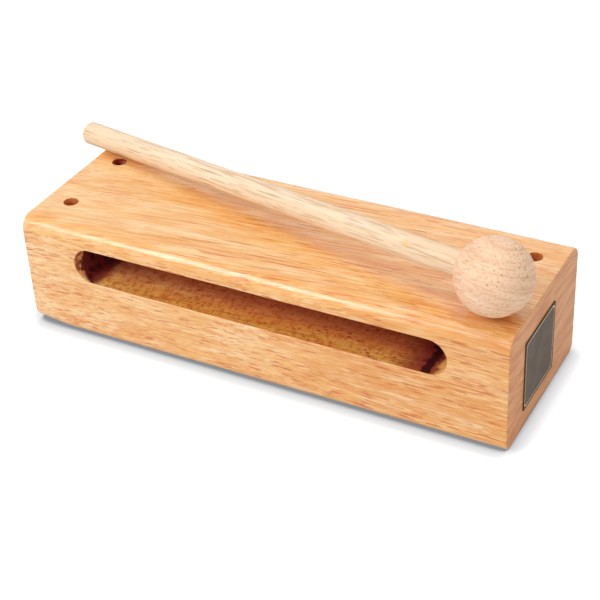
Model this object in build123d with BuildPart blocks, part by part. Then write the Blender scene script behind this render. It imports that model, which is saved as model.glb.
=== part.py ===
from build123d import *
import os
from math import asin, atan2, cos, degrees, hypot, radians, sin

# A hardwood woodblock with its ball-headed mallet lying across the top.
# Millimetres, +Z up. The origin is the centre of the block's base, X runs along the block,
# and the sound slot opens towards -Y.

# Block: one solid piece of wood
block_length = 204.0
block_width = 69.5
block_height = 48.5
top_edge_radius = 6.0
base_edge_radius = 3.5
end_edge_radius = 0.6

# Sound slot, routed into the front face: the thin roof above it is what the mallet strikes
slot_height = 15.0
roof_thickness = 7.8
end_wall = 23.35
back_wall = 14.5
slot_lip_radius = 0.4

# Mounting holes, drilled right through the two solid ends, a little behind the middle line
hole_radius = 3.0
hole_end_inset = 11.4
hole_side_inset = 17.25
hole_back_shift = 1.25

# Badge: a thin plate on the right-hand end, set a little low and towards the front
badge_width = 30.0
badge_height = 30.0
badge_thickness = 0.5
badge_corner_radius = 0.8
badge_front_inset = 14.85
badge_base_inset = 8.1

# Mallet: a wooden ball glued on the end of a dowel
head_radius = 14.25
handle_radius = 4.75
mallet_length = 221.0
bore_depth = 18.0
glue_gap = 0.1
tail_radius = 1.2

# Where the mallet lies: the ball near the front right corner, the dowel across the left end
head_end_inset = 12.2
head_front_inset = 14.85
mallet_yaw = 13.5
rest_gap = 0.35

# Sizes worked out from the driving dimensions
slot_length = block_length - 2 * end_wall
slot_depth = block_width - back_wall
slot_centre_height = block_height - roof_thickness - slot_height / 2
hole_spacing_along = block_length - 2 * hole_end_inset
hole_spacing_across = block_width - 2 * hole_side_inset
badge_centre_across = -block_width / 2 + badge_front_inset + badge_width / 2
badge_centre_height = badge_base_inset + badge_height / 2
handle_length = mallet_length - 2 * head_radius + bore_depth
bore_radius = handle_radius + glue_gap
seat_offset = head_radius - bore_depth

# The mallet's axis starts at the ball's centre and runs to the dowel's tail. The dowel drops
# just enough to lie on the top edge of the block's left end.
head_centre = Vector(
    block_length / 2 - head_end_inset,
    -block_width / 2 + head_front_inset,
    block_height + rest_gap + head_radius,
)
yaw = radians(mallet_yaw)
reach_to_left_end = (head_centre.X + block_length / 2) / cos(yaw)
tilt = atan2(head_radius, reach_to_left_end) - asin(
    handle_radius / hypot(reach_to_left_end, head_radius)
)
mallet_plane = Plane(
    origin=head_centre,
    x_dir=(sin(yaw), cos(yaw), 0),
    z_dir=(-cos(tilt) * cos(yaw), cos(tilt) * sin(yaw), -sin(tilt)),
)
mallet_axis = Axis(mallet_plane.origin, mallet_plane.z_dir)

os.makedirs("parts", exist_ok=True)

# Block
with BuildPart() as sound_block:
    with BuildSketch(Plane.YZ.offset(-block_length / 2)) as end_profile:
        with Locations((0, block_height / 2)):
            Rectangle(block_width, block_height)
        fillet(end_profile.vertices().group_by(Axis.Y)[-1], top_edge_radius)
        fillet(end_profile.vertices().group_by(Axis.Y)[0], base_edge_radius)
    extrude(amount=block_length)
    fillet(sound_block.faces().filter_by(Axis.X).edges(), end_edge_radius)

    with BuildSketch(Plane.XZ.offset(block_width / 2)) as slot_mouth:
        with Locations((0, slot_centre_height)):
            SlotOverall(slot_length, slot_height)
    extrude(amount=-slot_depth, mode=Mode.SUBTRACT)
    front_face = sound_block.faces().filter_by(Axis.Y).sort_by(Axis.Y)[0]
    fillet(front_face.inner_wires()[0].edges(), slot_lip_radius)

    with Locations((0, hole_back_shift, block_height)):
        with GridLocations(hole_spacing_along, hole_spacing_across, 2, 2):
            Hole(hole_radius)

sound_block.part.label = "sound_block"
export_step(sound_block.part, "parts/sound_block.step")

# Badge
with BuildPart() as end_badge:
    with BuildSketch(Plane.YZ.offset(block_length / 2)) as badge_outline:
        with Locations((badge_centre_across, badge_centre_height)):
            RectangleRounded(badge_width, badge_height, badge_corner_radius)
    extrude(amount=badge_thickness)

end_badge.part.label = "end_badge"
export_step(end_badge.part, "parts/end_badge.step")

# Mallet head: a ball with a blind bore
with BuildPart(mallet_plane) as mallet_head:
    Sphere(head_radius)
    with Locations((0, 0, seat_offset)):
        Cylinder(
            bore_radius,
            bore_depth,
            align=(Align.CENTER, Align.CENTER, Align.MIN),
            mode=Mode.SUBTRACT,
        )

mallet_head.part.label = "mallet_head"
export_step(mallet_head.part, "parts/mallet_head.step")

# Mallet handle: a dowel seated on the bottom of the bore, with its tail end softened
with BuildPart(mallet_plane.offset(seat_offset)) as mallet_handle:
    Cylinder(
        handle_radius,
        handle_length,
        align=(Align.CENTER, Align.CENTER, Align.MIN),
    )
    tail_rim = mallet_handle.edges().filter_by(GeomType.CIRCLE).sort_by(mallet_axis)[-1]
    fillet(tail_rim, tail_radius)

mallet_handle.part.label = "mallet_handle"
export_step(mallet_handle.part, "parts/mallet_handle.step")

print(f"sound slot {slot_length:.1f} x {slot_height:.1f} mm, {slot_depth:.1f} mm deep")
print(f"mounting holes {hole_spacing_along:.1f} x {hole_spacing_across:.1f} mm apart")
print(f"dowel {handle_length:.1f} mm long, lying {degrees(tilt):.2f} degrees off level")
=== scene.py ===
# %% [markdown]
# # A woodblock and its mallet
# A woodblock is a small percussion instrument: a bar of hardwood with a deep slot routed into one long
# side. The thin roof over the slot rings when the ball of the mallet strikes it. This lesson dresses the
# measured model of one: every piece keeps the size and the place that the measured model gives it.

# %% Load the measured model
from math import atan2, ceil, cos, degrees, exp, pi, radians, sin

import bmesh
import bpy
from mathutils import Matrix, Vector, noise


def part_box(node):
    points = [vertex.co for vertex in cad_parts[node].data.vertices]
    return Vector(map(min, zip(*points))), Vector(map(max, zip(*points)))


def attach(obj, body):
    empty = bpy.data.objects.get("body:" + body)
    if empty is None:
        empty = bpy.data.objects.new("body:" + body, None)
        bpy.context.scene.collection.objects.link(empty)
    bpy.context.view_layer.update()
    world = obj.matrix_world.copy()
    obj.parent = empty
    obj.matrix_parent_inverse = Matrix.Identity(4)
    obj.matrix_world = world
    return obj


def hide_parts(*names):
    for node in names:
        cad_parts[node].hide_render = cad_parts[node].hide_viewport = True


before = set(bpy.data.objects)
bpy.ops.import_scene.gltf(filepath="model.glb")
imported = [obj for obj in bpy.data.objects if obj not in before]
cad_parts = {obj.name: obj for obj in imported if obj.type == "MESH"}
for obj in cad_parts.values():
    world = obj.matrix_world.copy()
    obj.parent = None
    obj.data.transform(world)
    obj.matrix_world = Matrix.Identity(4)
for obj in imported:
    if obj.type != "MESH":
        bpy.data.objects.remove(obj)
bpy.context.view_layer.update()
print("pieces in the model:", sorted(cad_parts))

# %% [markdown]
# ## The camera
# The picture is a product shot from the front right, looking down by about a third of a right angle. The
# lens is a long one, so the far edges of the block stay nearly parallel to the near ones. The camera is
# given as a photographer would say it: a turn, a height, a distance and a slight tilt of the frame.

# %% Place the camera
MM = 0.001
view_turn = radians(29.467)
view_height = radians(34.328)
view_tilt = radians(-3.218)
view_distance = 599.22 * MM
aim_point = Vector((1.86, 0.0, 16.56)) * MM
sensor_width = 36.0
lens_length = 91.83

toward_camera = Vector((
    sin(view_turn) * cos(view_height),
    -cos(view_turn) * cos(view_height),
    sin(view_height),
))
level_right = Vector((cos(view_turn), sin(view_turn), 0.0))
level_up = toward_camera.cross(level_right)
frame_right = level_right * cos(view_tilt) + level_up * sin(view_tilt)
frame_up = level_up * cos(view_tilt) - level_right * sin(view_tilt)

scene = bpy.context.scene
camera_data = bpy.data.cameras.new("product_camera")
camera_data.sensor_width = sensor_width
camera_data.lens = lens_length
camera_data.clip_start = 0.01
camera = bpy.data.objects.new("product_camera", camera_data)
turn = Matrix((frame_right, frame_up, toward_camera)).transposed()
camera.matrix_world = Matrix.Translation(aim_point + toward_camera * view_distance) @ turn.to_4x4()
scene.collection.objects.link(camera)
scene.camera = camera
scene.view_settings.view_transform = "Standard"
print("camera stands at", [round(c, 3) for c in camera.matrix_world.translation])

# %% [markdown]
# ## A small kit for building finishes
# Each finish below is a chain of shader nodes. Adding them one by one is wordy, so this helper adds a
# node, plugs its inputs and hands back its output in one call. A value that isn't an output of another
# node is simply typed into the socket. How fine a pattern is, is said per metre.

# %% Kit for finishes
ALONG_X = (1.0, 0.0, 0.0)
ALONG_Y = (0.0, 1.0, 0.0)
ALONG_Z = (0.0, 0.0, 1.0)


def painted(red, green, blue):
    """A colour given as a screen shows it, 0 to 255, as the linear colour that shaders work in."""
    shares = [c / 255 for c in (red, green, blue)]
    return (*[s / 12.92 if s < 0.04045 else ((s + 0.055) / 1.055) ** 2.4 for s in shares], 1.0)


class NodeChain:
    """Shader nodes under construction."""

    def __init__(self, tree):
        self.tree = tree
        tree.nodes.clear()

    def node(self, kind, inputs, output=0, **settings):
        made = self.tree.nodes.new(kind)
        for name, value in settings.items():
            setattr(made, name, value)
        for name, value in inputs.items():
            if isinstance(value, bpy.types.NodeSocket):
                self.tree.links.new(value, made.inputs[name])
            else:
                made.inputs[name].default_value = value
        return made.outputs[output]

    def maths(self, operation, first, second=0.0, third=0.0):
        return self.node("ShaderNodeMath", {0: first, 1: second, 2: third}, operation=operation)

    def times(self, first, second):
        return self.maths("MULTIPLY", first, second)

    def plus(self, first, second):
        return self.maths("ADD", first, second)

    def minus(self, first, second):
        return self.maths("SUBTRACT", first, second)

    def larger(self, first, second):
        return self.maths("MAXIMUM", first, second)

    def unsigned(self, value):
        return self.maths("ABSOLUTE", value)

    def shown(self):
        """1 where the lens sees it, straight, mirrored or through glass, and 0 for other light."""
        path = self.tree.nodes.new("ShaderNodeLightPath")
        seen = self.larger(path.outputs["Is Camera Ray"], path.outputs["Is Glossy Ray"])
        return self.larger(seen, path.outputs["Is Transmission Ray"])


class Finish(NodeChain):
    """A material under construction."""

    def __init__(self, name):
        self.material = bpy.data.materials.new(name)
        self.material.use_nodes = True
        super().__init__(self.material.node_tree)

    def place(self):
        return self.node("ShaderNodeTexCoord", {}, "Object")

    def facing(self):
        return self.node("ShaderNodeTexCoord", {}, "Normal")

    def vectors(self, operation, first, second, output=0):
        return self.node("ShaderNodeVectorMath", {0: first, 1: second}, output, operation=operation)

    def along(self, where, direction):
        """How far a place lies along a direction."""
        return self.vectors("DOT_PRODUCT", where, direction, "Value")

    def noise(self, where, per_metre, detail=2.0, roughness=0.5, output="Fac"):
        stretched = self.vectors("MULTIPLY", where, per_metre)
        inputs = {"Vector": stretched, "Scale": 1.0, "Detail": detail, "Roughness": roughness}
        return self.node("ShaderNodeTexNoise", inputs, output)

    def dots(self, where, per_metre, reach, softness):
        """Scattered dots with soft rims, some smaller than others: 1 inside, 0 outside."""
        stretched = self.vectors("MULTIPLY", where, per_metre)
        scatter = self.tree.nodes.new("ShaderNodeTexVoronoi")
        scatter.inputs["Scale"].default_value = 1.0
        self.tree.links.new(stretched, scatter.inputs["Vector"])
        chance = self.along(scatter.outputs["Color"], (0.33, 0.33, 0.34))
        own_reach = self.times(reach, self.step(chance, 0.1, 0.8, 0.35, 1.0))
        return self.step(self.minus(own_reach, scatter.outputs["Distance"]), 0.0, softness)

    def step(self, value, start, end, low=0.0, high=1.0):
        """From low to high as the value goes from start to end, easing in and out."""
        inputs = {"Value": value, 1: start, 2: end, 3: low, 4: high}
        return self.node("ShaderNodeMapRange", inputs, interpolation_type="SMOOTHSTEP")

    def blend(self, share, first, second, how="MIX"):
        """From the first colour to the second as the share goes from 0 to 1."""
        inputs = {0: share, 6: first, 7: second}
        return self.node("ShaderNodeMix", inputs, 2, data_type="RGBA", blend_type=how)

    def tint(self, colour, tone, value, start, end, share=1.0):
        """From a colour to a share of a tone as the value goes from start to end."""
        return self.blend(self.step(value, start, end, 0.0, share), colour, tone)

    def fade(self, share, first, second):
        """From the first number to the second as the share goes from 0 to 1."""
        return self.node("ShaderNodeMix", {0: share, 2: first, 3: second}, data_type="FLOAT")

    def relief(self, height, depth, strength):
        return self.node("ShaderNodeBump", {"Height": height, "Distance": depth, "Strength": strength})

    def done(self, shader):
        output = self.tree.nodes.new("ShaderNodeOutputMaterial")
        self.tree.links.new(shader, output.inputs["Surface"])
        return self.material

    def surface(self, inputs):
        return self.done(self.node("ShaderNodeBsdfPrincipled", inputs))


print("middle grey is", round(painted(128, 128, 128)[0], 3), "in linear light")

# %% [markdown]
# ## Soft studio light
# A broad soft lamp hangs straight above, so the dowel's soft shadow lies right under it. A smaller lamp
# at the front left draws the bright line along the rounded top edge, and large cards at the front, the
# right and the back fill in. The lens sees a white backdrop, but a dimmer one lights the object.

# %% Surroundings and lamps
surroundings_level = 0.46
white = (1.0, 1.0, 1.0, 1.0)

world = bpy.data.worlds.new("studio")
world.use_nodes = True
scene.world = world
sky = NodeChain(world.node_tree)
white_backdrop = sky.node("ShaderNodeBackground", {"Color": white})
surroundings = sky.node("ShaderNodeBackground", {"Color": white, "Strength": surroundings_level})
either = sky.node("ShaderNodeMixShader", {0: sky.shown(), 1: surroundings, 2: white_backdrop})
world_output = sky.tree.nodes.new("ShaderNodeOutputWorld")
sky.tree.links.new(either, world_output.inputs["Surface"])


def soft_lamp(name, place, aim_height, width, depth, watts):
    """A rectangular lamp that points at the middle of the block and stays out of the picture."""
    lamp_data = bpy.data.lights.new(name, "AREA")
    lamp_data.shape = "RECTANGLE"
    lamp_data.size = width
    lamp_data.size_y = depth
    lamp_data.energy = watts
    lamp = bpy.data.objects.new(name, lamp_data)
    lamp.location = place
    toward_block = Vector((0.0, 0.0, aim_height)) - Vector(place)
    lamp.rotation_euler = toward_block.to_track_quat("-Z", "Y").to_euler()
    lamp.visible_camera = False
    scene.collection.objects.link(lamp)


soft_lamp("overhead_softbox", (-0.01, 0.06, 0.86), 0.05, 0.42, 0.38, 1.95)
soft_lamp("left_softbox", (-0.47, -0.66, 0.77), 0.05, 0.40, 0.42, 4.9)
soft_lamp("front_card", (0.05, -1.30, 0.40), 0.03, 1.8, 0.8, 1.7)
soft_lamp("right_card", (1.00, -0.72, 0.50), 0.04, 0.9, 0.9, 2.4)
soft_lamp("back_card", (0.10, 0.95, 0.62), 0.05, 1.2, 0.5, 1.0)
print(len(bpy.data.lights), "lamps are up")

# %% [markdown]
# ## White table
# The table is a plain white sheet. It is lit past white for the lens, as in a product shot, so only the
# shadow close to the block is left on it. There the sheet sees little of the room, and how little it sees
# darkens its colour and its glow as a painted shadow: steeply right beside the block, gently further out.
# A wider view adds a faint, wide painted shadow.

# %% Table
table_reach = 3.0
table_drop = 0.05 * MM
near_view_reach = 8.5 * MM
wide_view_reach = 45.0 * MM
view_samples = 16

table_mesh = bpy.data.meshes.new("table")
table_corners = [(-1, -1), (1, -1), (1, 1), (-1, 1)]
table_points = [(x * table_reach, y * table_reach, -table_drop) for x, y in table_corners]
table_mesh.from_pydata(table_points, [], [(0, 1, 2, 3)])
table = bpy.data.objects.new("table", table_mesh)
scene.collection.objects.link(table)


def room_seen(finish, reach):
    """How much of the room a spot sees past what stands within reach: 1 in the open."""
    return finish.node("ShaderNodeAmbientOcclusion", {"Distance": reach}, "AO", samples=view_samples)


def white_sheet():
    finish = Finish("white_sheet")
    # Painted shadow: the colour and the glow below darken where a spot sees little of the room.
    near_view = room_seen(finish, near_view_reach)
    beside_block = finish.step(near_view, 0.36, 0.65, 0.0, 0.63)
    further_out = finish.step(near_view, 0.65, 1.0, 0.0, 0.37)
    openness = finish.plus(beside_block, further_out)
    wide_painted_shadow = finish.step(room_seen(finish, wide_view_reach), 0.50, 0.97, 0.88, 1.0)
    lit_colour = finish.blend(openness, (0.065, 0.07, 0.078, 1.0), (0.26, 0.27, 0.28, 1.0))
    lift_colour = finish.blend(openness, (0.24, 0.26, 0.28, 1.0), (0.98, 0.98, 0.98, 1.0))
    lit = finish.node("ShaderNodeBsdfDiffuse", {"Color": lit_colour})
    lift = finish.node("ShaderNodeEmission", {"Color": lift_colour, "Strength": wide_painted_shadow})
    past_white = finish.node("ShaderNodeAddShader", {0: lit, 1: lift})
    plain = finish.node("ShaderNodeBsdfDiffuse", {"Color": (0.80, 0.80, 0.80, 1.0)})
    return finish.done(finish.node("ShaderNodeMixShader", {0: finish.shown(), 1: plain, 2: past_white}))


table_mesh.materials.append(white_sheet())
print("table:", 2 * table_reach, "m wide")

# %% [markdown]
# ## Shaping helpers
# Everything here is either a bar, a turned piece or a thin plate, so all of them are rings of points
# joined into a skin. Each ring has as many points as the next, which keeps the skin a clean grid.


# %% Rings into a skin
def skin(name, rings):
    """A mesh object from rings of points: neighbours are joined by four-sided faces, ends are filled."""
    shape = bmesh.new()
    rows = [[shape.verts.new(point) for point in ring] for ring in rings]
    for row, following in zip(rows, rows[1:]):
        for i in range(len(row)):
            j = (i + 1) % len(row)
            shape.faces.new((row[i], row[j], following[j], following[i]))
    shape.faces.new(list(reversed(rows[0])))
    shape.faces.new(rows[-1])
    bmesh.ops.recalc_face_normals(shape, faces=shape.faces)
    mesh = bpy.data.meshes.new(name)
    shape.to_mesh(mesh)
    shape.free()
    piece = bpy.data.objects.new(name, mesh)
    scene.collection.objects.link(piece)
    return piece


def smooth(piece, crease_degrees):
    """Round shading, except over creases sharper than an angle, with the flat faces kept flat."""
    piece.data.shade_smooth()
    piece.data.set_sharp_from_angle(angle=radians(crease_degrees))
    keep_flats_flat = piece.modifiers.new("keep_flats_flat", "WEIGHTED_NORMAL")
    keep_flats_flat.keep_sharp = True


def arc(centre, radius, start, end, steps):
    """Points on an arc in a plane, both ends included, with angles in degrees."""
    turns = [radians(start + (end - start) * i / steps) for i in range(steps + 1)]
    return [(centre[0] + radius * cos(t), centre[1] + radius * sin(t)) for t in turns]


def between(start, end, steps):
    """Points that divide the way between two points, neither end included."""
    shares = [i / steps for i in range(1, steps)]
    return [(start[0] + (end[0] - start[0]) * s, start[1] + (end[1] - start[1]) * s) for s in shares]


print("a quarter turn in 10 steps has", len(arc((0, 0), 1, 0, 90, 10)), "points")

# %% [markdown]
# ## The bar
# The real block starts as a planed bar whose long edges are run past a roundover cutter, larger on top
# than at the base. A scaled cube with a bevel would have dead straight edges. Here the bar is drawn as a
# rounded outline instead, which can shrink, and whose two front corners can change along the bar.

# %% Outline of the bar
block_low, block_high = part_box("sound_block")
block_length = block_high.x - block_low.x
half_width = (block_high.y - block_low.y) / 2
block_height = block_high.z
top_radius = 6.0 * MM
base_radius = 3.5 * MM
smallest_radius = 0.25 * MM
corner_steps = 10
flat_steps = 9


def bar_outline(inset, top_front_radius, base_front_radius):
    """The section of the bar as (y, z) points, shrunk by an inset, front lower corner first."""
    low, high = -half_width + inset, half_width - inset
    base, top = inset, block_height - inset
    corners = [
        (low, base, base_front_radius, 180, 1, 1),
        (high, base, base_radius, 270, -1, 1),
        (high, top, top_radius, 0, -1, -1),
        (low, top, top_front_radius, 90, 1, -1),
    ]
    arcs = []
    for y, z, radius, start, inward_y, inward_z in corners:
        bend = max(radius - inset, smallest_radius)
        centre = (y + inward_y * bend, z + inward_z * bend)
        arcs.append(arc(centre, bend, start, start + 90, corner_steps))
    outline = []
    for corner, following in zip(arcs, arcs[1:] + arcs[:1]):
        outline += corner + between(corner[-1], following[0], flat_steps)
    return outline


print("outline of the bar:", len(bar_outline(0.0, top_radius, base_radius)), "points")

# %% [markdown]
# The bar is a stack of those outlines from one end to the other. Where along the bar each one stands, and
# how far it is shrunk there, gives the ends their small roundover and a very slight dome.

# %% Stations along the bar
end_radius = 0.6 * MM
end_crown = 0.05 * MM
cap_insets = [22 * MM, 15 * MM, 9 * MM, 5 * MM, 2.5 * MM]
roundover_steps = 4
station_gap = 7.0 * MM

half_length = block_length / 2
end_stations = []
for inset in cap_insets:
    end_stations.append((half_length - end_crown * (1 - inset / cap_insets[0]) ** 2, inset))
for i in range(roundover_steps + 1):
    lean = pi / 2 * i / roundover_steps
    end_stations.append((
        half_length - end_crown - end_radius * (1 - cos(lean)),
        end_radius * (1 - sin(lean)),
    ))
body_half = end_stations[-1][0]
body_count = ceil(2 * body_half / station_gap)
body_stations = [(-body_half + 2 * body_half * i / body_count, 0.0) for i in range(1, body_count)]
stations = [(-x, inset) for x, inset in end_stations] + body_stations + end_stations[::-1]
print("stations:", len(stations), "and of these", len(end_stations), "at each end")

# %% [markdown]
# The bar has been sanded by hand and used. Sanding has taken a few hundredths of a millimetre more off in
# some places than in others, the rounding of the top front edge varies a little, and the lower front
# corner of the left end is knocked round.

# %% Sanded and knocked bar
sanding_depth = 0.08 * MM
sanding_along = 22
sanding_across = 40
edge_wear = 0.07
edge_waves = 24
knocked_corner = 3.2 * MM
knocked_reach = 9.0 * MM


def sanded(x, y, z):
    """A point of the bar, moved towards its middle line by an uneven share of the sanding depth."""
    waves = Vector((x * sanding_along, y * sanding_across, z * sanding_across))
    share = 0.5 + 0.5 * noise.noise(waves)
    inward = Vector((0.0, -y, block_height / 2 - z)).normalized()
    return Vector((x, y, z)) + inward * sanding_depth * share


def bar_ring(x, inset):
    worn_radius = top_radius * (1.0 + edge_wear * noise.noise(Vector((x * edge_waves, 3.1, 0.0))))
    from_left_end = (x + half_length) / knocked_reach
    low_radius = base_radius + knocked_corner * exp(-from_left_end ** 2)
    outline = bar_outline(inset, worn_radius, low_radius)
    return [sanded(x, y, z) for y, z in outline]


bar = skin("varnished_block", [bar_ring(x, inset) for x, inset in stations])
print("bar:", len(bar.data.vertices), "points in", len(stations), "outlines")

# %% [markdown]
# ## The sound slot
# The slot is cut with a router, so its ends are half round. The cutter below is the shape that the bit
# sweeps. Its rings can grow outwards to ease the lip, and near the mouth they are a little ragged, with
# three small splinters missing. Subtracting one good cutter keeps the lip even all the way round.

# %% Ring of the router-shaped cutter
slot_length = 157.3 * MM
slot_height = 15.0 * MM
slot_centre_height = 33.2 * MM
slot_reach = slot_length / 2 - slot_height / 2
slot_end_steps = 22
slot_flat_steps = 44
ragged_size = 0.05 * MM
ragged_depth = 0.9 * MM
upper_lip, lower_lip = 1, -1
# Each splinter: place along the slot, lip, depth, spread
splinters = [
    (-9.05 * MM, upper_lip, 0.45 * MM, 0.8 * MM),
    (31.0 * MM, lower_lip, 0.22 * MM, 1.6 * MM),
    (-48.0 * MM, lower_lip, 0.18 * MM, 2.2 * MM),
]


def slot_outline(depth, grow):
    """One ring of the cutter at a depth from the front face, grown outwards where the lip is eased."""
    radius = slot_height / 2
    right = arc((slot_reach, 0), radius, -90, 90, slot_end_steps)
    left = arc((-slot_reach, 0), radius, 90, 270, slot_end_steps)
    outline = right + between(right[-1], left[0], slot_flat_steps)
    outline += left + between(left[-1], right[0], slot_flat_steps)
    near_mouth = exp(-max(depth, 0.0) / ragged_depth)
    ring = []
    for x, z in outline:
        middle = min(max(x, -slot_reach), slot_reach)
        out = Vector((x - middle, z)).normalized()
        ragged = ragged_size * noise.noise(Vector((x * 420, z * 420, depth * 90)))
        for splinter_along, lip, size, spread in splinters:
            if lip * z > 0:
                ragged += size * exp(-((x - splinter_along) / spread) ** 2)
        extra = grow + ragged * near_mouth
        ring.append(Vector((
            x + out.x * extra,
            -half_width + depth,
            slot_centre_height + z + out.y * extra,
        )))
    return ring


print("ring of the slot cutter:", len(slot_outline(0.0, 0.0)), "points")

# %% [markdown]
# The bit is plunged in several passes, each a little deeper, so the walls carry faint steps. The mouth is
# eased with a twist of sandpaper, and the cutter starts a little in front of the block.

# %% Passes of the router
slot_depth = 55.0 * MM
lip_radius = 0.55 * MM
lip_start = radians(9)
lip_steps = 5
front_overshoot = 1.5 * MM
front_flare = 0.25 * MM
pass_depths = [7 * MM, 15 * MM, 24 * MM, 33 * MM, 42 * MM]
pass_step = 0.09 * MM
pass_ramp = 0.12 * MM
floor_ease = 0.5 * MM

slot_rings = [slot_outline(-front_overshoot, lip_radius * (1 - sin(lip_start)) + front_flare)]
for i in range(lip_steps + 1):
    lean = lip_start + (pi / 2 - lip_start) * i / lip_steps
    slot_rings.append(slot_outline(lip_radius * (1 - cos(lean)), lip_radius * (1 - sin(lean))))
narrowing = 0.0
for depth in pass_depths:
    slot_rings.append(slot_outline(depth, -narrowing))
    narrowing += pass_step
    slot_rings.append(slot_outline(depth + pass_ramp, -narrowing))
slot_rings.append(slot_outline(slot_depth - floor_ease, -narrowing))
slot_rings.append(slot_outline(slot_depth, -narrowing - floor_ease))
slot_cutter = skin("slot_cutter", slot_rings)
print("slot cutter narrows by", round(narrowing / MM, 2), "mm in", len(pass_depths), "passes")

# %% [markdown]
# ## The four mounting holes
# Each solid end has two holes drilled straight through, so the block can be bolted to a stand. A twist
# drill leaves a slightly torn rim where it crosses the grain, so the cutters flare a little, unevenly.

# %% Drill-shaped cutters
hole_radius = 3.0 * MM
hole_along = 181.2 / 2 * MM
hole_across = 35.0 / 2 * MM
hole_back_shift = 1.25 * MM
hole_points = 40
drill_overshoot = 1.0 * MM
rim_depth = 0.3 * MM
base_rim_depth = 0.02 * MM
rim_flare = 0.05 * MM
tear_share = 0.7
tear_turn = 2.3


def drill(x, y):
    levels = [
        (-drill_overshoot, rim_flare),
        (base_rim_depth, rim_flare),
        (rim_depth, 0.0),
        (block_height - rim_depth, 0.0),
        (block_height, rim_flare),
        (block_height + drill_overshoot, rim_flare * 2),
    ]
    rings = []
    for z, flare in levels:
        ring = []
        for i in range(hole_points):
            t = 2 * pi * i / hole_points
            tear_place = Vector((x * 900 + tear_turn * cos(t), y * 900 + tear_turn * sin(t), 0.4))
            radius = hole_radius + flare * (1.0 + tear_share * noise.noise(tear_place))
            ring.append(Vector((x + radius * cos(t), y + radius * sin(t), z)))
        rings.append(ring)
    return skin("drill", rings)


drills = []
for x in (-hole_along, hole_along):
    for y in (-hole_across, hole_across):
        drills.append(drill(x, y + hole_back_shift))
print("drills:", len(drills))

# %% [markdown]
# ## The block's wood
# The wood is a pale hardwood under a clear satin varnish: honey coloured, with short red-brown pores
# that lie along the grain and gather in bands. Painting a picture on each face would break at the edges.
# A solid texture runs through the whole bar instead, as grain does: stretched noise for the growth bands
# and fibres, stretched cells for the pores. It carries on over every edge and into the slot. The grain of
# this bar is a little bowed, so the places in it are bent straight first.

# %% Bowed grain
bow_across = -0.30
slant_across = 0.085
bow_upward = -0.225
slant_upward = 0.02
grain_drift = 4.5 * MM


def block_grain(wood):
    """Places in the wood, straightened so that the fibres run along x."""
    split = wood.tree.nodes.new("ShaderNodeSeparateXYZ")
    wood.tree.links.new(wood.place(), split.inputs[0])
    x, y, z = split.outputs
    lean_y = wood.maths("MULTIPLY_ADD", x, bow_across, slant_across)
    lean_z = wood.maths("MULTIPLY_ADD", x, bow_upward, slant_upward)
    straight = wood.node("ShaderNodeCombineXYZ", {
        0: x,
        1: wood.minus(y, wood.times(x, lean_y)),
        2: wood.minus(z, wood.times(x, lean_z)),
    })
    drift = wood.noise(straight, (11.0, 34.0, 34.0), 1.0, 0.5, "Color")
    centred = wood.vectors("SUBTRACT", drift, (0.5, 0.5, 0.5))
    sideways = wood.vectors("MULTIPLY", centred, (0.0, grain_drift, grain_drift))
    return wood.vectors("ADD", straight, sideways)


end_shift = half_length * (bow_across * half_length + slant_across)
print("the grain at the right end lies", round(end_shift / MM, 1), "mm further back")

# %% [markdown]
# The figure of the wood is laid on from coarse to fine. First come broad growth bands and paler patches,
# warmer towards the right. Then come fine lines along the grain, long on the planed top and at the left
# of the front, shorter at its right.

# %% Bands and lines
cream = painted(244, 202, 144)
honey = painted(238, 180, 106)
amber = painted(225, 152, 70)
pale_line = painted(251, 222, 176)
orange_line = painted(220, 134, 54)


def growth_bands(wood, grain, warmer):
    bands = wood.noise(grain, (7.0, 125.0, 75.0), 3.0, 0.55)
    tone = wood.plus(bands, warmer)
    colour = wood.tint(cream, honey, tone, 0.34, 0.58)
    colour = wood.tint(colour, amber, tone, 0.56, 0.82)
    patches = wood.noise(grain, (48.0, 190.0, 190.0), 2.0, 0.5)
    return wood.tint(colour, pale_line, patches, 0.46, 0.70, 0.34)


def grain_lines(wood, grain, colour, on_top, to_right):
    """The colour with amber seams on the sides and fine lines on it, and the fibres on their own."""
    seams = wood.step(wood.noise(grain, (13.0, 400.0, 400.0), 1.0, 0.5), 0.50, 0.66)
    colour = wood.blend(wood.times(seams, wood.fade(on_top, 0.55, 0.0)), colour, amber)
    left_lines = wood.noise(grain, (28.0, 1000.0, 1000.0), 3.0, 0.65)
    right_lines = wood.noise(grain, (62.0, 1150.0, 1150.0), 3.0, 0.65)
    top_lines = wood.noise(grain, (22.0, 1500.0, 1500.0), 3.0, 0.65)
    lines = wood.fade(on_top, wood.fade(to_right, left_lines, right_lines), top_lines)
    colour = wood.tint(colour, orange_line, lines, 0.52, 0.63, 0.50)
    colour = wood.tint(colour, pale_line, lines, 0.47, 0.36, 0.50)
    fibres = wood.noise(grain, (70.0, 1700.0, 1700.0), 3.0, 0.7)
    colour = wood.tint(colour, orange_line, fibres, 0.50, 0.62, 0.50)
    return colour, fibres


print("red to blue: cream", round(cream[0] / cream[2], 1), "and amber", round(amber[0] / amber[2], 1))

# %% [markdown]
# Last come brown dashes and open pores. They gather in bands, more of them towards the right. The planed
# top shows fewer of them than the sawn front, above all at its left.

# %% Dashes and pores
dash_brown = painted(200, 98, 14)
pore_brown = painted(182, 78, 4)
block_pores = (60.0, 1600.0, 1600.0)


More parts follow.
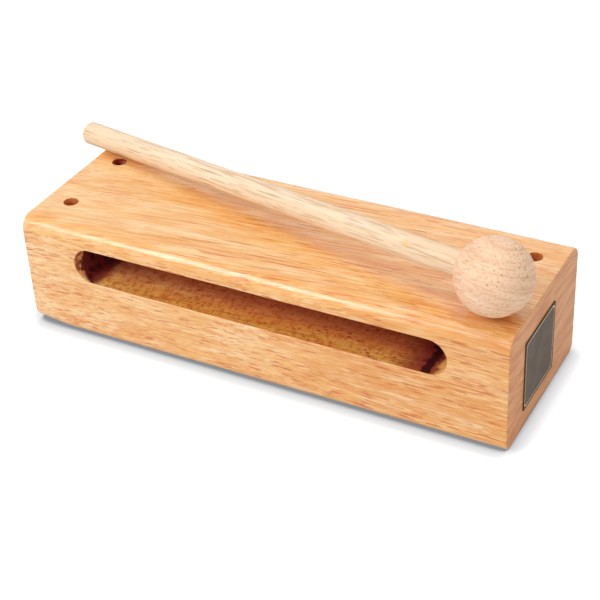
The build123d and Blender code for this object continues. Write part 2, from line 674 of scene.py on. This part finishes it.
def dashes_and_pores(wood, grain, colour, along_bar, warmer, on_top, to_right):
    """The colour with dashes and pores on it, and both on their own."""
    planed_left = wood.step(along_bar, -60 * MM, 10 * MM, 0.40, 1.0)
    planed_right = wood.step(along_bar, 30 * MM, 80 * MM, 1.0, 0.65)
    planed_share = wood.times(planed_left, planed_right)
    sawn_share = wood.step(along_bar, -90 * MM, 60 * MM, 0.85, 1.0)
    share = wood.fade(on_top, sawn_share, planed_share)
    crowd = wood.step(wood.noise(grain, (12.0, 170.0, 170.0), 2.0, 0.6), 0.42, 0.62)
    crowd = wood.maths("MINIMUM", wood.maths("MULTIPLY_ADD", warmer, 3.0, crowd), 1.0)

    long_streaks = wood.noise(grain, (32.0, 1300.0, 1300.0), 2.0, 0.55)
    short_streaks = wood.noise(grain, (100.0, 1300.0, 1300.0), 2.0, 0.55)
    streaks = wood.fade(wood.step(along_bar, 0.0, 60 * MM), long_streaks, short_streaks)
    streaks = wood.maths("MULTIPLY_ADD", crowd, 0.06, streaks)
    dashes = wood.times(wood.step(streaks, 0.60, 0.68), share)
    colour = wood.blend(wood.times(dashes, 0.80), colour, dash_brown)

    pore_reach = wood.maths("MULTIPLY_ADD", crowd, 0.24, 0.07)
    pores = wood.dots(grain, block_pores, pore_reach, 0.10)
    pores = wood.times(pores, wood.times(share, wood.fade(to_right, 0.6, 1.15)))
    colour = wood.blend(wood.times(pores, 0.75), colour, pore_brown)
    return colour, wood.larger(pores, dashes)


def block_figure(wood, grain):
    """Colour, pores and fibres of the wood, at places in the grain."""
    along_bar = wood.along(grain, ALONG_X)
    warmer = wood.step(along_bar, -70 * MM, 100 * MM, 0.0, 0.15)
    to_right = wood.step(along_bar, -50 * MM, 40 * MM)
    on_top = wood.step(wood.unsigned(wood.along(wood.facing(), ALONG_Z)), 0.08, 0.40)
    colour = growth_bands(wood, grain, warmer)
    colour, fibres = grain_lines(wood, grain, colour, on_top, to_right)
    colour, pores = dashes_and_pores(wood, grain, colour, along_bar, warmer, on_top, to_right)
    return colour, pores, fibres


print("pores lie about", round(1 / block_pores[1] / MM, 2), "mm apart across the grain")

# %% [markdown]
# The varnish over it is a clear coat. On the ends the wood drinks it up: end grain is darker, its growth
# rings show as soft stripes, and hardly any coat is left standing on it.

# %% Varnished finish
end_light = painted(226, 158, 102)
end_dark = painted(200, 126, 70)


def varnished_wood():
    wood = Finish("clear_satin_varnish")
    grain = block_grain(wood)
    colour, pores, fibres = block_figure(wood, grain)
    end_grain = wood.step(wood.unsigned(wood.along(wood.facing(), ALONG_X)), 0.65, 0.95)
    growth = wood.noise(grain, (12.0, 60.0, 420.0), 3.0, 0.6)
    end_colour = wood.tint(end_light, end_dark, growth, 0.34, 0.66)
    height = wood.minus(wood.times(fibres, 0.25), pores)
    return wood.surface({
        "Base Color": wood.blend(wood.times(end_grain, 0.90), colour, end_colour),
        "Roughness": wood.step(fibres, 0.3, 0.7, 0.48, 0.58),
        "Specular IOR Level": 0.15,
        "Coat Weight": wood.maths("MULTIPLY_ADD", end_grain, -0.85, 1.0),
        "Coat Roughness": 0.22,
        "Coat IOR": 1.55,
        "Normal": wood.relief(height, 0.03 * MM, 0.5),
    })


varnish = varnished_wood()
print("varnish nodes:", len(varnish.node_tree.nodes))

# %% [markdown]
# ## Inside the slot
# The router leaves the chamber raw, and dust and oil have darkened the wood. Deeper in from the mouth it
# is painted darker and redder still, as painted shade. The grain is the same solid grain, seen through a
# brown stain with blotches, grime and dark specks in it.

# %% Stain and painted shade
slot_specks = (330.0, 640.0, 640.0)


def stained_and_shaded(wood, colour, place, along, depth):
    """The colour under its stain and painted shade, with the blotches and the specks on their own."""
    stain = wood.blend(1.0, colour, painted(255, 246, 186), "MULTIPLY")
    # Painted shade: the stain darkens deeper in from the mouth, and turns a little redder towards the
    # right.
    painted_shade_tone = wood.tint(painted(216, 116, 94), painted(198, 88, 78), along, -20.0 * MM, 50.0 * MM)
    stain = wood.tint(stain, painted_shade_tone, depth, 2.0 * MM, 15.0 * MM, 0.60)
    blotches = wood.noise(place, (80.0, 190.0, 190.0), 3.0, 0.6)
    stain = wood.tint(stain, painted(182, 100, 50), blotches, 0.42, 0.68, 0.30)
    grime = wood.noise(place, (520.0, 400.0, 400.0), 4.0, 0.75)
    stain = wood.tint(stain, painted(182, 60, 20), grime, 0.49, 0.60, 0.60)
    crowd = wood.step(wood.noise(place, (40.0, 90.0, 90.0), 1.0), 0.42, 0.62)
    speck_reach = wood.maths("MULTIPLY_ADD", crowd, 0.34, 0.05)
    specks = wood.dots(place, slot_specks, speck_reach, 0.12)
    stain = wood.blend(wood.times(specks, 0.75), stain, painted(140, 32, 10))
    return stain, blotches, specks


print("specks lie about", round(1 / slot_specks[1] / MM, 1), "mm apart")

# %% [markdown]
# At both ends of the slot, where the bit stood still, it has charred the wall nearly black. On the left
# the dark and its glow cover the end wall and stop where the floor begins, behind a crescent of clean
# wood at the mouth; there they are scorch and painted shade of the deep end together. On the right it is
# a stripe down the wall, and the wood beyond it is clean except low down. A red glow surrounds each. The
# clean crescents at both ends are painted lighter, as painted light on the walls there. Distances are
# along the bar from its middle, in from the mouth or up from the base, and a wavering noise makes the
# borders uneven.

# %% Scorched ends
floor_height = 26.0 * MM
wall_height = 27.2 * MM
stripe_along = 69.8 * MM


# The dark beyond the left crescent is scorch and painted shade of the deep end together.
def left_scorch_and_shade(wood, uneven_along, uneven_depth, height):
    crescent_depth = wood.maths("MULTIPLY_ADD", wood.minus(height, 33.0 * MM), 0.6, 5.0 * MM)
    beyond_crescent = wood.minus(uneven_depth, crescent_depth)
    on_floor = wood.step(height, wall_height, floor_height)
    shifted = wood.maths("MULTIPLY_ADD", on_floor, 5.0 * MM, uneven_along)
    glow_start = wood.fade(on_floor, -50.0 * MM, -61.0 * MM)
    glow = wood.step(shifted, glow_start, -67.0 * MM, 0.0, 0.88)
    glow = wood.times(glow, wood.step(beyond_crescent, -2.0 * MM, 2.0 * MM))
    scorch = wood.step(shifted, -63.0 * MM, -70.0 * MM)
    scorch = wood.times(scorch, wood.step(beyond_crescent, -0.8 * MM, 0.8 * MM))
    return glow, scorch


def right_scorch(wood, along, uneven_along, depth, height):
    from_stripe = wood.unsigned(wood.minus(uneven_along, stripe_along))
    scorch = wood.step(from_stripe, 2.5 * MM, 1.1 * MM)
    glow = wood.step(from_stripe, 16.0 * MM, 2.0 * MM, 0.0, 0.90)
    low_down = wood.step(height, 30.5 * MM, 27.5 * MM)
    low_down = wood.times(low_down, wood.step(uneven_along, 75.5 * MM, 73.0 * MM))
    before_stripe = wood.step(along, 72.5 * MM, 70.5 * MM)
    before_stripe = wood.times(before_stripe, wood.step(depth, 3.0 * MM, 10.0 * MM, 0.45, 1.0))
    return wood.times(glow, wood.larger(before_stripe, low_down)), scorch


def scorch_light_and_shade(wood, stain, place, along, depth, height):
    """Glow and scorch at the slot's ends, with painted shade at left and painted light on clean
    crescents.
    """
    waver = wood.noise(place, (230.0, 230.0, 230.0), 3.0, 0.65)
    wobble = wood.times(wood.minus(waver, 0.5), 8.0 * MM)
    uneven_along = wood.plus(along, wobble)
    glow_and_shade_left, scorch_and_shade_left = left_scorch_and_shade(wood, uneven_along, wood.plus(depth, wobble), height)
    glow_right, scorch_right = right_scorch(wood, along, uneven_along, depth, height)

    # Painted light: the clean crescents at both ends are painted lighter, as lit walls.
    clean_and_lit_tone = wood.tint(painted(255, 184, 116), painted(255, 196, 110), along, -1.0 * MM, 1.0 * MM)
    stain = wood.tint(stain, clean_and_lit_tone, wood.unsigned(along), 70.5 * MM, 74.5 * MM, 0.80)
    far_left = wood.step(along, -70.0 * MM, -74.0 * MM, 0.0, 0.75)
    mottle = wood.times(far_left, wood.step(waver, 0.49, 0.55))
    stain = wood.blend(mottle, stain, painted(136, 48, 38))

    # Glow and scorch; at the left end both also stand for painted shade.
    stain = wood.blend(wood.larger(glow_and_shade_left, glow_right), stain, painted(140, 42, 40))
    scorch = wood.larger(scorch_and_shade_left, scorch_right)
    stain = wood.blend(wood.times(scorch, 0.92), stain, painted(106, 22, 26))
    core = wood.times(scorch, wood.step(waver, 0.46, 0.58, 0.0, 0.92))
    core = wood.larger(core, wood.times(scorch_right, 0.80))
    return wood.blend(core, stain, painted(42, 5, 9))


print("the stripe is", round((slot_length / 2 - stripe_along) / MM, 1), "mm from the slot's right end")

# %% [markdown]
# Both raw finishes are rough and have little gloss. The wall of a drilled hole shows the turns of the
# drill as rings, and the hole at the back of the left end is painted darker and redder, as painted shade.


# %% Raw finishes
def raw_surface(wood, colour, roughness, bumps):
    return wood.surface({
        "Base Color": colour,
        "Roughness": roughness,
        "Specular IOR Level": 0.25,
        "Normal": bumps,
    })


def routed_wood():
    wood = Finish("routed_wood")
    colour, pores, fibres = block_figure(wood, block_grain(wood))
    place = wood.place()
    along = wood.along(place, ALONG_X)
    depth = wood.plus(wood.along(place, ALONG_Y), half_width)
    height = wood.along(place, ALONG_Z)
    stain, blotches, specks = stained_and_shaded(wood, colour, place, along, depth)
    stain = scorch_light_and_shade(wood, stain, place, along, depth, height)
    roughness = wood.step(blotches, 0.3, 0.7, 0.55, 0.75)
    bumps = wood.relief(wood.minus(fibres, wood.plus(pores, specks)), 0.08 * MM, 0.6)
    return raw_surface(wood, stain, roughness, bumps)


def drilled_wood():
    wood = Finish("drilled_wood")
    place = wood.place()
    rings = wood.noise(place, (300.0, 300.0, 1400.0), 2.0, 0.5)
    stain = wood.tint(painted(228, 136, 76), painted(190, 98, 52), rings, 0.40, 0.66)
    # Painted shade: the hole at the back of the left end is darkened and reddened.
    back_left = wood.step(wood.along(place, (-0.5, 1.0, 0.0)), 58.0 * MM, 62.0 * MM)
    back_hole_shade = wood.times(back_left, wood.step(rings, 0.36, 0.50, 0.35, 0.95))
    stain = wood.blend(back_hole_shade, stain, painted(150, 34, 32))
    roughness = wood.step(rings, 0.3, 0.7, 0.6, 0.8)
    bumps = wood.relief(rings, 0.10 * MM, 0.6)
    return raw_surface(wood, stain, roughness, bumps)


routed = routed_wood()
drilled = drilled_wood()
print("inside finishes:", routed.name, drilled.name)

# %% [markdown]
# ## Cut the slot and the holes
# The cutters carry their own finishes, and the cut passes them on to the walls they leave behind. Only
# the eased lip and the holes' rims keep the varnish, so the raw wood starts just inside.

# %% Cut
bar.data.materials.append(varnish)
slot_cutter.data.materials.append(varnish)
slot_cutter.data.materials.append(routed)
lip_limit = -half_width + lip_radius * 0.98
for face in slot_cutter.data.polygons:
    face.material_index = 0 if face.center.y < lip_limit else 1
for tool in drills:
    tool.data.materials.append(varnish)
    tool.data.materials.append(drilled)
    for face in tool.data.polygons:
        face.material_index = 1 if rim_depth < face.center.z < block_height - rim_depth else 0


def cut_away(piece, tool):
    cut = piece.modifiers.new("cut", "BOOLEAN")
    cut.operation = "DIFFERENCE"
    cut.solver = "EXACT"
    cut.material_mode = "TRANSFER"
    cut.object = tool
    finished = piece.evaluated_get(bpy.context.evaluated_depsgraph_get())
    new_mesh = bpy.data.meshes.new_from_object(finished)
    piece.modifiers.clear()
    piece.data = new_mesh
    bpy.data.objects.remove(tool)


for tool in [slot_cutter, *drills]:
    cut_away(bar, tool)
smooth(bar, 40.0)
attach(bar, "block")
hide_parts("sound_block")
print("block:", len(bar.data.polygons), "faces,", [m.name for m in bar.data.materials])

# %% [markdown]
# ## The badge
# A thin square plate with rounded corners sits on the right-hand end. Its field is bare satin charcoal,
# and a fine gold line runs round it, a little way in from the edge. The line is a shallow groove filled
# with gold, so the plate is built as rounded squares, one inside the other, that step down and up again.

# %% Plate with its border line
badge_low, badge_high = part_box("end_badge")
badge_middle = (badge_low + badge_high) / 2
badge_half = (badge_high.y - badge_low.y) / 2
badge_radius = 0.8 * MM
face_setback = 0.15 * MM
badge_face = badge_high.x - face_setback
edge_ease = 0.12 * MM
line_inset = 1.00 * MM
line_width = 0.45 * MM
line_depth = 0.06 * MM
line_slope = 0.05 * MM
line_bend = 1.6 * MM
field_inset = 6.0 * MM
plate_corner_steps = 8


def plate_ring(inset, x):
    bend = badge_radius if inset < line_inset else line_bend
    reach = badge_half - inset - bend
    ring = []
    for side_y, side_z, start in ((1, 1, 0), (-1, 1, 90), (-1, -1, 180), (1, -1, 270)):
        centre = (side_y * reach, side_z * reach)
        for y, z in arc(centre, bend, start, start + 90, plate_corner_steps):
            ring.append(Vector((x, badge_middle.y + y, badge_middle.z + z)))
    return ring


groove_floor = badge_face - line_depth
plate_rings = [
    plate_ring(0.0, badge_low.x - end_crown),
    plate_ring(0.0, badge_face - edge_ease),
    plate_ring(edge_ease, badge_face),
    plate_ring(line_inset, badge_face),
    plate_ring(line_inset + line_slope, groove_floor),
    plate_ring(line_inset + line_width, groove_floor),
    plate_ring(line_inset + line_width + line_slope, badge_face),
    plate_ring(field_inset, badge_face),
]
badge = skin("charcoal_badge", plate_rings)
print("badge:", len(badge.data.polygons), "faces")

# %% [markdown]
# The charcoal is a satin paint with a fine speckle, a shade darker on the rim outside the line. The gold
# is a little worn. It goes on the floor of the groove only.

# %% Charcoal and gold
rim_blur = 0.1 * MM
level_tolerance = 0.01 * MM


def charcoal():
    finish = Finish("satin_charcoal")
    place = finish.place()
    speckle = finish.noise(place, (2600.0, 2600.0, 2600.0), 2.0, 0.6)
    cloud = finish.noise(place, (130.0, 130.0, 130.0), 2.0, 0.5)
    colour = finish.tint(painted(98, 86, 76), painted(108, 95, 84), cloud, 0.35, 0.65)
    colour = finish.tint(colour, painted(124, 110, 96), speckle, 0.55, 0.75, 0.4)
    from_middle = finish.vectors("SUBTRACT", place, badge_middle)
    across = finish.unsigned(finish.along(from_middle, ALONG_Y))
    upward = finish.unsigned(finish.along(from_middle, ALONG_Z))
    outward = finish.larger(across, upward)
    rim_start = badge_half - line_inset
    return finish.surface({
        "Base Color": finish.tint(
            colour, painted(80, 69, 60), outward, rim_start - rim_blur, rim_start + rim_blur
        ),
        "Specular IOR Level": 0.06,
        "Roughness": finish.step(speckle, 0.3, 0.7, 0.48, 0.62),
        "Normal": finish.relief(speckle, 0.02 * MM, 0.5),
    })


def gold():
    finish = Finish("gold_line")
    worn = finish.noise(finish.place(), (900.0, 900.0, 900.0), 2.0, 0.6)
    return finish.surface({
        "Base Color": finish.tint(painted(240, 214, 160), painted(214, 180, 124), worn, 0.45, 0.7),
        "Metallic": 0.35,
        "Roughness": finish.step(worn, 0.3, 0.7, 0.35, 0.55),
    })


badge.data.materials.append(charcoal())
badge.data.materials.append(gold())
rim_limit = badge_half - line_inset / 2
for face in badge.data.polygons:
    offset = face.center - badge_middle
    inside_rim = max(abs(offset.y), abs(offset.z)) < rim_limit
    on_groove_floor = abs(face.center.x - groove_floor) < level_tolerance
    face.material_index = 1 if inside_rim and on_groove_floor else 0
smooth(badge, 30.0)
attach(badge, "block")
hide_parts("end_badge")
print("gold faces:", sum(face.material_index for face in badge.data.polygons))

# %% [markdown]
# ## The mallet
# The mallet is a turned ball glued on the end of a length of dowel, both bare sanded wood. Where it lies
# is read off the measured model: the ball's box gives its centre, and the dowel's far rim gives the axis.

# %% Where the mallet lies
head_low, head_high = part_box("mallet_head")
ball_radius = (head_high.z - head_low.z) / 2
ball_centre = Vector((
    head_high.x - ball_radius,
    (head_low.y + head_high.y) / 2,
    (head_low.z + head_high.z) / 2,
))
dowel_points = [v.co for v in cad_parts["mallet_handle"].data.vertices]
farthest = max((p - ball_centre).length for p in dowel_points)
tail_rim = [p for p in dowel_points if farthest - (p - ball_centre).length < 0.05 * MM]
tail_centre = sum(tail_rim, Vector()) / len(tail_rim)
mallet_axis = (tail_centre - ball_centre).normalized()
mallet_side = Vector((0, 0, 1)).cross(mallet_axis).normalized()
mallet_up = mallet_axis.cross(mallet_side)
mallet_turn = Matrix((mallet_side, mallet_up, mallet_axis)).transposed()
mallet_place = Matrix.Translation(ball_centre) @ mallet_turn.to_4x4()
mallet_reach = (tail_centre - ball_centre).length
print("mallet reaches", round(mallet_reach / MM, 1), "mm from the ball's centre")

# %% [markdown]
# Each piece is a turned shape, so each is made on its own axis, as on a lathe, and then laid where the
# measured mallet lies. The ball has a blind bore, and the dowel sits on the floor of that bore. Both are
# very slightly out of round.

# %% Turn the ball and the dowel
handle_radius = 4.75 * MM
tail_radius = 1.2 * MM
glue_gap = 0.1 * MM
bore_radius = handle_radius + glue_gap
bore_depth = 18.0 * MM
seat = ball_radius - bore_depth
edge_chamfer = 0.3 * MM
mouth = (ball_radius ** 2 - bore_radius ** 2) ** 0.5
mouth_ease = 0.35 * MM
mouth_gap = 0.1 * MM
pole_degrees = 1.2
ball_rows = 56
ball_sides = 96
ball_unevenness = 0.03 * MM
dowel_rows = 60
dowel_sides = 48
dowel_unevenness = 0.05 * MM
tail_steps = 7


def turned(name, profile, points, unevenness):
    """A lathe shape from (radius, distance along the axis) pairs, very slightly out of round."""
    rings = []
    for radius, along in profile:
        ring = []
        for i in range(points):
            t = 2 * pi * i / points
            wobble = noise.noise(Vector((1.3 * cos(t), 1.3 * sin(t), along * 60)))
            r = radius - min(unevenness, radius * 0.3) * (0.5 + 0.5 * wobble)
            ring.append(mallet_place @ Vector((r * cos(t), r * sin(t), along)))
        rings.append(ring)
    return skin(name, rings)


mouth_degrees = 180 - degrees(atan2(bore_radius + mouth_ease, mouth))
half_circle = arc((0, 0), ball_radius, pole_degrees, mouth_degrees, ball_rows)
ball_profile = [(radius, -along) for along, radius in half_circle]
ball_profile += [(bore_radius + mouth_gap, mouth), (bore_radius, mouth - edge_chamfer)]
ball_profile += [(bore_radius, seat), (bore_radius * 0.3, seat)]
ball = turned("mallet_ball", ball_profile, ball_sides, ball_unevenness)

straight_start = seat + edge_chamfer
straight_length = mallet_reach - tail_radius - seat - edge_chamfer
dowel_profile = [(handle_radius * 0.4, seat), (handle_radius - edge_chamfer, seat)]
for i in range(dowel_rows + 1):
    dowel_profile.append((handle_radius, straight_start + straight_length * i / dowel_rows))
tail_corner = (handle_radius - tail_radius, mallet_reach - tail_radius)
dowel_profile += arc(tail_corner, tail_radius, 0, 90, tail_steps)[1:]
dowel_profile += [(handle_radius * 0.4, mallet_reach)]
dowel = turned("mallet_dowel", dowel_profile, dowel_sides, dowel_unevenness)
print("ball:", len(ball.data.polygons), "faces; dowel:", len(dowel.data.polygons), "faces")

# %% [markdown]
# ## Bare wood of the mallet
# Both pieces are pale wood with no varnish: cream, with fine brown grain lines and open pores. A bare
# sanded surface scatters light, so it is rough, with hardly any gloss. One function makes both finishes.
# It is told which way the fibres run and which way the growth rings are stacked.

# %% Bare finish
bare_roughness = (0.62, 0.78)


def bare_wood(name, grain_axis, across_rings, tones, marking, rings, fibre_share, pores, marks=None):
    """Bare wood with its fibres along one direction and its growth rings stacked along another."""
    wood = Finish(name)
    line_colour, pore_colour = marking
    ring_width, ring_share, ring_waver = rings
    pore_size, pores_per_metre = pores
    place = wood.vectors("SUBTRACT", wood.place(), ball_centre)
    axis = grain_axis.normalized()
    across = (across_rings - axis * across_rings.dot(axis)).normalized()
    across_grain = wood.along(place, across)
    through_rings = wood.along(place, across_rings.normalized())
    sideways = wood.along(place, axis.cross(across))
    lengthways = wood.along(place, axis)
    grain = wood.node("ShaderNodeCombineXYZ", {0: across_grain, 1: sideways, 2: lengthways})
    ring_place = wood.node("ShaderNodeCombineXYZ", {0: through_rings, 1: sideways, 2: lengthways})

    bands = wood.noise(ring_place, (0.4 / ring_width, 55.0, 12.0), 3.0, 0.6)
    lines = wood.noise(ring_place, (1.0 / ring_width, ring_waver, 20.0), 2.0, 0.55)
    fibres = wood.noise(grain, (1200.0, 1100.0, 70.0), 2.0, 0.6)
    colour = wood.tint(*tones, bands, 0.34, 0.66)
    colour = wood.tint(colour, line_colour, lines, 0.52, 0.64, ring_share)
    colour = wood.tint(colour, line_colour, fibres, 0.50, 0.64, fibre_share)
    crowd = wood.step(wood.noise(grain, (160.0, 160.0, 22.0), 2.0, 0.6), 0.36, 0.62, 0.3, 1.0)
    open_pores = wood.dots(grain, pores_per_metre, wood.times(crowd, pore_size), 0.08)
    colour = wood.blend(wood.times(open_pores, 0.75), colour, pore_colour)
    if marks:
        colour = marks(wood, place, colour)
    height = wood.minus(wood.times(fibres, 0.4), open_pores)
    return wood.surface({
        "Base Color": colour,
        "Roughness": wood.step(fibres, 0.3, 0.7, *bare_roughness),
        "Specular IOR Level": 0.35,
        "Normal": wood.relief(height, 0.05 * MM, 0.6),
    })


print("roughness of bare wood:", bare_roughness)

# %% [markdown]
# The dowel's grain runs along it. Its upper side is painted a touch paler, as painted light from above,
# and near the ball it has one small yellow knot.

# %% Dowel
dowel_tones = (painted(241, 218, 187), painted(238, 209, 174))
dowel_marking = (painted(206, 161, 120), painted(182, 130, 88))
knot_along = 35.5 * MM
knot_turn = radians(44)
knot_place = mallet_turn @ Vector((
    handle_radius * sin(knot_turn),
    handle_radius * cos(knot_turn),
    knot_along,
))


def dowel_light_and_knot(wood, place, colour):
    painted_light_side = wood.along(wood.facing(), mallet_up)
    # Painted light: the dowel's upper side is painted paler.
    colour = wood.tint(colour, painted(246, 226, 206), painted_light_side, 0.45, 0.98, 0.10)
    way_to_knot = wood.vectors("SUBTRACT", place, knot_place)
    to_knot = wood.node("ShaderNodeVectorMath", {0: way_to_knot}, "Value", operation="LENGTH")
    return wood.tint(colour, painted(236, 190, 116), to_knot, 2.2 * MM, 0.2 * MM, 0.60)


dowel.data.materials.append(bare_wood(
    "bare_dowel_wood", mallet_axis, mallet_up, dowel_tones, dowel_marking,
    rings=(1.3 * MM, 0.15, 150.0), fibre_share=0.65, pores=(0.36, (1500.0, 1500.0, 45.0)),
    marks=dowel_light_and_knot,
))
print("dowel:", dowel.data.materials[0].name)

# %% [markdown]
# The ball's fibres come out at its front right, so its pores are dots there and dashes on its left. Its
# growth rings are stacked upwards, so they draw level arcs round it.

# %% Ball
ball_grain = Vector((0.72, -0.54, 0.44))
ball_rings = Vector((0.16, 0.26, 0.95))
ball_tones = (painted(247, 212, 178), painted(238, 196, 162))
ball_marking = (painted(218, 166, 128), painted(196, 138, 98))
ball.data.materials.append(bare_wood(
    "bare_ball_wood", ball_grain, ball_rings, ball_tones, ball_marking,
    rings=(0.7 * MM, 0.45, 85.0), fibre_share=0.52, pores=(0.35, (780.0, 780.0, 120.0)),
))

for piece, node, slot in ((ball, "mallet_head", "bare_ball"), (dowel, "mallet_handle", "bare_dowel")):
    smooth(piece, 50.0)
    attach(piece, "mallet")
    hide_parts(node)
print("mallet dressed:", ball.name, dowel.name)
